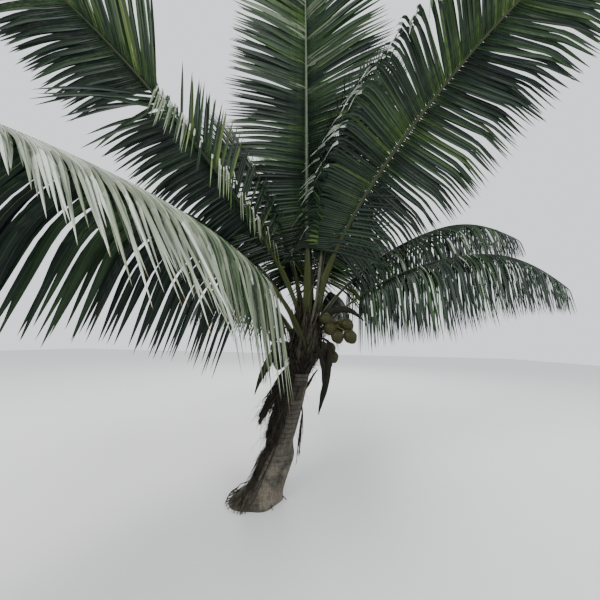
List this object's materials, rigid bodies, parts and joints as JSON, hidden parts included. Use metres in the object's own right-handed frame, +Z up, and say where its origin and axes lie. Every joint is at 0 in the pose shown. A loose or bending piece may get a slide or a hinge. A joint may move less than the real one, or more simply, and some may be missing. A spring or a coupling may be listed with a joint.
{
  "type": "dwarf coconut palm",
  "caption": "Young dwarf coconut palm: a short leaning ringed trunk with a swollen foot, a fibrous sheath, long arching feather fronds, bunches of green-brown nuts and dry spathes.",
  "frame": {"origin": "on level ground, under the middle of the trunk's swollen foot", "axes": "+Z up; +X is the way the trunk leans, to the right in the picture; +Y is away from the picture's camera"},
  "size_m": [7.864, 6.9208, 6.5892],
  "materials": {
    "bark": "rough grey-brown bark with ring scars and short cracks",
    "fibre": "dark matted leaf-base fibre",
    "frond": "leathery green leaflets with a satin face and a paler rib",
    "nut": "smooth olive-brown husk",
    "dry_spathe": "dry papery brown spathe",
    "spear": "pale brown folded young leaf"
  },
  "bodies": {
    "root": {"trunk": "bark", "crown_fibre": "fibre", "dead_sheath_left_upper": "fibre", "dead_sheath_left_lower": "fibre", "dead_sheath_rear": "fibre", "leaf_base_front": "fibre", "leaf_base_right": "fibre", "leaf_base_rear": "fibre", "leaf_base_left": "fibre", "nut_bunch_right": "nut", "nut_bunch_left": "nut", "nut_bunch_rear_right": "nut", "nut_bunch_rear_left": "nut", "spathe_right_arching": "dry_spathe", "spathe_right_hanging": "dry_spathe", "spathe_right_short": "dry_spathe", "dead_strip_right": "dry_spathe", "dead_leaf_left": "dry_spathe", "spear": "spear", "frond_front_upright": "frond", "frond_right_high": "frond", "frond_left_high": "frond", "frond_left_low_inner": "frond", "frond_left_low_outer": "frond", "frond_right_low_inner": "frond", "frond_right_low_outer": "frond", "frond_right_rear": "frond", "frond_rear_upright": "frond", "frond_rear_right_mid": "frond", "frond_rear_right_low_inner": "frond", "frond_rear_right_low_outer": "frond", "frond_rear_high": "frond", "frond_rear_mid": "frond", "frond_rear_left_low_inner": "frond", "frond_rear_left_low_outer": "frond", "frond_rear_left_high": "frond", "frond_left_rear_mid": "frond"}
  },
  "joints": []
}
